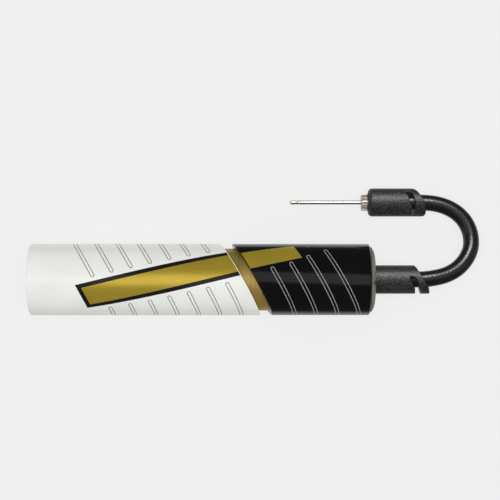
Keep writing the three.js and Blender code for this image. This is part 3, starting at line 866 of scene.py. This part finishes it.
def make_boot(name, rear, turn_and_gape, axis, node, materials):
    """A sleeve with an oblique mouth and a slot, its edges rounded as moulded rubber is."""
    phase, gape = turn_and_gape
    boot = new_object(name, *boot_blank(rear, phase, axis))
    cutter = new_object("slot_cutter", *slot_cutter(rear, phase, gape, axis))
    subtract(boot, cutter)
    remesh = boot.modifiers.new("remesh", "REMESH")
    remesh.mode = "VOXEL"
    remesh.voxel_size = BOOT_VOXEL * MM
    smooth = boot.modifiers.new("smooth", "SMOOTH")
    smooth.factor = 0.5
    smooth.iterations = BOOT_SMOOTHING
    apply_modifiers(boot)
    bpy.data.objects.remove(cutter)
    boot.data.shade_smooth()
    finish(boot, "hose", "boot_grey", materials, node)


def make_ferrules(materials):
    """A plated sleeve in each boot, with a crimped waist that shows in the slot."""
    bore, outer, waist = 4.5, 5.4, 5.1
    loop = [(8.2, bore), (8.2, outer - 0.1), (8.3, outer), (12, outer), (12.4, waist), (14.4, waist),
            (14.8, outer), (20.1, outer), (20.3, outer - 0.2), (20.3, bore)]
    for name, rear, axis, node in (
        ("ferrule_at_pump", BOOT_REAR, BODY_AXIS, "hose_ferrule"),
        ("ferrule_at_needle", holder_low.x, NEEDLE_AXIS, "needle_ferrule"),
    ):
        ferrule = turned(name, [(rear + x, radius) for x, radius in loop], axis, FERRULE_SEGMENTS)
        finish(ferrule, "hose", "nickel", materials, node)


# ---- Needle --------------------------------------------------------------------------------

KNURLS = 26
GROOVE = 0.45  # share of the pitch that each groove takes
KNURL_DEPTH = 0.5
FLANGE_LENGTH = 3.6
FLANGE_RADIUS = 4.5
FLANGE_FACE = 3.9  # radius of its flat faces, inside the rounded rim
STUB_RADIUS = 3.85
BASE_BORE = 1.2
NEEDLE_RADIUS = 1.05
NEEDLE_BORE = 0.5
TIP_LENGTH = 0.9
HOLE_FROM_TIP = 4.0
HOLE_RADIUS = 0.42
HOLE_SIDES = 20


def make_needle_base(materials):
    """A flange with grooves across its rim, and a stub that screws into the socket."""
    rear, stub = flange_low.x, flange_high.x
    front = rear + FLANGE_LENGTH

    def profile(angle):
        tooth = abs((angle * KNURLS / (2 * math.pi)) % 1 * 2 - 1)
        top = FLANGE_RADIUS - KNURL_DEPTH * max(0.0, 1 - tooth / GROOVE)
        rim = [(rear, FLANGE_FACE), (rear + 0.35, top - 0.12), (rear + 0.5, top), (front - 0.5, top),
               (front - 0.35, top - 0.12), (front, FLANGE_FACE)]
        return [(rear, BASE_BORE), *rim, (stub, STUB_RADIUS), (stub, BASE_BORE)]

    base = new_object("knurled_base", *skin(profile, KNURLS * 10, NEEDLE_AXIS), 25)
    finish(base, "needle", "nickel", materials, "needle_base")


def make_needle(materials):
    """A tube with a round tip and a hole in its top side. Loops at the hole keep its shading local."""
    tip, end, y, z = tube_low.x, tube_high.x, *NEEDLE_AXIS
    near, far, bore_end = tip + HOLE_FROM_TIP - 0.7, tip + HOLE_FROM_TIP + 0.7, tip + 2.5
    quarter = [math.radians(9 * i) for i in range(1, 11)]
    round_tip = [(tip + TIP_LENGTH * (1 - math.cos(a)), NEEDLE_RADIUS * math.sin(a)) for a in quarter]
    outline = [*round_tip, (near, NEEDLE_RADIUS), (far, NEEDLE_RADIUS), (end, NEEDLE_RADIUS),
               (end, NEEDLE_BORE), (far, NEEDLE_BORE), (near, NEEDLE_BORE), (bore_end, NEEDLE_BORE)]
    needle = disc("needle", outline, NEEDLE_AXIS, 48)
    circle = [2 * math.pi * i / HOLE_SIDES for i in range(HOLE_SIDES)]
    rings = [(tip + HOLE_FROM_TIP + HOLE_RADIUS * math.cos(a), y + HOLE_RADIUS * math.sin(a), level)
             for level in (z, z + 2 * NEEDLE_RADIUS) for a in circle]
    drill = new_object("drill", rings, capped(2, HOLE_SIDES))
    subtract(needle, drill)
    apply_modifiers(needle)
    bpy.data.objects.remove(drill)
    finish(needle, "needle", "needle_steel", materials, "needle_tube")


# ---- Valve spring --------------------------------------------------------------------------


SPRING_WIRE = 0.28  # radius of the wire
SPRING_RADIUS = 2.3
SPRING_TURNS = 4
SPRING_RINGS = 161
WIRE_SIDES = 10


def make_valve_spring(materials):
    """A coil built at one length; the real spring shortens as the ball lifts off its seat."""
    y, z = BODY_AXIS
    start, end = spring_low.x + SPRING_WIRE, spring_high.x - SPRING_WIRE
    climb = (end - start) / (2 * math.pi * SPRING_TURNS)
    points = []
    for i in range(SPRING_RINGS):
        share = i / (SPRING_RINGS - 1)
        turn = 2 * math.pi * SPRING_TURNS * share
        out = Vector((0, math.cos(turn), math.sin(turn)))
        centre = Vector((start + (end - start) * share, y, z)) + SPRING_RADIUS * out
        along = Vector((climb, -SPRING_RADIUS * out.z, SPRING_RADIUS * out.y)).normalized()
        side = along.cross(out)
        for j in range(WIRE_SIDES):
            angle = 2 * math.pi * j / WIRE_SIDES
            points.append(centre + SPRING_WIRE * (math.cos(angle) * out + math.sin(angle) * side))
    spring = new_object("spring_coil", points, capped(SPRING_RINGS, WIRE_SIDES))
    finish(spring, "pump_head", "steel", materials, "valve_spring")
    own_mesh(spring)


# ---- Pieces that stay as the CAD has them ----------------------------------------------------


def dress_cad_nodes(materials):
    """Every CAD node that no piece stands for gets the procedural material of its slot."""
    slots = {part["node"]: part["material_slot"] for part in frame["record"]["subparts"]}
    for name, obj in frame["nodes"].items():
        obj.data.materials.clear()
        obj.data.materials.append(materials[slots[name]].material)


# ---- Stage ---------------------------------------------------------------------------------


def area_light(name, place, aim, size, power, gloss_on=()):
    """A soft box. It lights matt surfaces, or it is a reflection in the gloss of the pieces named."""
    data = bpy.data.lights.new(name, "AREA")
    data.shape = "RECTANGLE"
    data.size, data.size_y = size
    data.energy = power
    light = bpy.data.objects.new(name, data)
    light.location = place
    light.rotation_euler = (Vector(aim) - Vector(place)).to_track_quat("-Z", "Y").to_euler()
    light.visible_glossy = bool(gloss_on)
    light.visible_diffuse = not gloss_on
    light.visible_camera = False
    bpy.context.scene.collection.objects.link(light)
    if gloss_on:
        group = bpy.data.collections.new(name + "_receivers")
        for receiver in gloss_on:
            group.objects.link(bpy.data.objects[receiver])
        light.light_linking.receiver_collection = group


DOME = 0.45  # light from all round on matt surfaces
# What gloss sees: a strip overhead, dark walls, and a lit table below that is brighter towards +Y.
STRIP = 0.6
WALLS = 0.08
TABLE_BRIGHT = 0.8
TABLE_DIM = 0.5
# Heights where the strip and the table begin, as the share of z in the direction across the body.
STRIP_EDGE = (0.95, 0.967)
TABLE_EDGE = (-0.55, -0.72)
TABLE_FADE = (-0.3, 0.3)
FLOOR_GLOW = 0.77  # what the floor gives off, as a lit sheet of acrylic does
FLOOR_ALBEDO = 0.1
FLOOR_HALF = 3000
FLOOR_HEIGHT = -0.02
BACKDROP = 0.871


def make_floor():
    """A white sheet, lit from within, that nothing mirrors."""
    graph = Graph("floor", roughness=0.9, Specular_IOR_Level=0.0,
                  Emission_Color=(1, 1, 1, 1), Emission_Strength=FLOOR_GLOW)
    speck = graph.noise(30)
    shades = [(0.4, (FLOOR_ALBEDO,) * 3), (0.6, (FLOOR_ALBEDO * 1.02,) * 3)]
    graph.colour(graph.ramp(speck, shades))
    signs = ((-1, -1), (1, -1), (1, 1), (-1, 1))
    corners = [(FLOOR_HALF * x, FLOOR_HALF * y, FLOOR_HEIGHT) for x, y in signs]
    floor = new_object("floor", corners, [(0, 1, 2, 3)])
    floor.data.materials.append(graph.material)
    floor.visible_glossy = False


def make_lights():
    """Two soft boxes light the part. The others are reflections in the pieces named. In metres."""
    middle = (0.025, 0.01, 0.02)
    area_light("overhead", (0.025, 0.03, 1.3), middle, (1.0, 0.5), 10.3)
    area_light("key", (0.0, 0.85, 1.1), middle, (1.0, 0.5), 0.4)
    bend = (0.115, 0.02, 0.015)
    boots = ("boot_at_pump", "boot_at_needle")
    behind = (0.11, 0.78, 0.95)
    area_light("boot_light", behind, bend, (0.5, 0.2), 20.0, boots)
    area_light("hose_light", behind, bend, (0.5, 0.2), 12.0, ("braided_hose",))
    area_light("needle_light", (0.08, 0.5, 1.05), bend, (0.5, 0.2), 7.0, ("needle",))
    area_light("flange_light", (0.08, 0.3, 1.15), bend, (0.5, 0.3), 3.0, ("knurled_base",))
    prints = ("stripe_on_handle", "stripe_on_head", "gold_tube")
    area_light("print_light", (0.0, 0.02, 1.2), middle, (0.8, 0.25), 0.8, prints)


def make_stage():
    make_floor()
    make_lights()
    make_world()
    bpy.context.scene.view_settings.view_transform = "Standard"


def make_world():
    """Soft dome for matt surfaces. Gloss sees a strip overhead, dark walls and a lit table below."""
    world = bpy.data.worlds.new("world")
    world.use_nodes = True
    tree = world.node_tree
    bpy.context.scene.world = world

    def add(kind, values, **settings):
        """Add a node with its first inputs and its settings, and give its first output."""
        node = tree.nodes.new(kind)
        for key, value in settings.items():
            setattr(node, key, value)
        for socket, value in zip(node.inputs, values):
            if isinstance(value, bpy.types.NodeSocket):
                tree.links.new(value, socket)
            else:
                socket.default_value = value
        return node.outputs[0]

    def step(value, start, end, low, high):
        return add("ShaderNodeMapRange", (value, start, end, low, high), interpolation_type="SMOOTHSTEP")

    def calculate(operation, *values):
        return add("ShaderNodeMath", values, operation=operation)

    direction = tree.nodes.new("ShaderNodeTexCoord").outputs["Generated"]
    parts = tree.nodes.new("ShaderNodeSeparateXYZ")
    tree.links.new(direction, parts.inputs[0])
    y, z = parts.outputs["Y"], parts.outputs["Z"]
    reach = calculate("SQRT", calculate("ADD", calculate("MULTIPLY", y, y), calculate("MULTIPLY", z, z)))
    height = calculate("DIVIDE", z, reach)
    strip = step(height, *STRIP_EDGE, WALLS, STRIP)
    table = step(height, *TABLE_EDGE, 0.0, 1.0)
    table_light = step(y, *TABLE_FADE, TABLE_DIM, TABLE_BRIGHT)
    gloss = calculate("ADD", strip, calculate("MULTIPLY", table, table_light))
    path = tree.nodes.new("ShaderNodeLightPath").outputs
    soft = step(path["Is Glossy Ray"], 0, 1, DOME, 0)
    seen = calculate("ADD", soft, calculate("MULTIPLY", path["Is Glossy Ray"], gloss))
    camera = path["Is Camera Ray"]
    rest = calculate("MULTIPLY", calculate("SUBTRACT", 1.0, camera), seen)
    total = calculate("ADD", calculate("MULTIPLY", camera, BACKDROP), rest)
    tree.links.new(total, tree.nodes["Background"].inputs["Strength"])
    tree.nodes["Background"].inputs["Color"].default_value = (1, 1, 1, 1)


# ---- Making --------------------------------------------------------------------------------

make_camera()
MATERIALS = make_materials()
make_boot("boot_at_pump", BOOT_REAR, PUMP_BOOT, BODY_AXIS, "hose_boot", MATERIALS)
make_boot("boot_at_needle", holder_low.x, NEEDLE_BOOT, NEEDLE_AXIS, "needle_holder", MATERIALS)
make_needle_base(MATERIALS)
make_needle(MATERIALS)
make_hose(MATERIALS)
make_ferrules(MATERIALS)
make_handle_sleeve(MATERIALS)
make_head_sleeve(MATERIALS)
make_barrel(MATERIALS)
make_end_cap(MATERIALS)
make_end_cover(MATERIALS)
make_graphics(MATERIALS)
make_valve_spring(MATERIALS)
bpy.data.objects["boot_at_needle"].visible_glossy = False  # not mirrored in the sleeve beside it
dress_cad_nodes(MATERIALS)
make_stage()
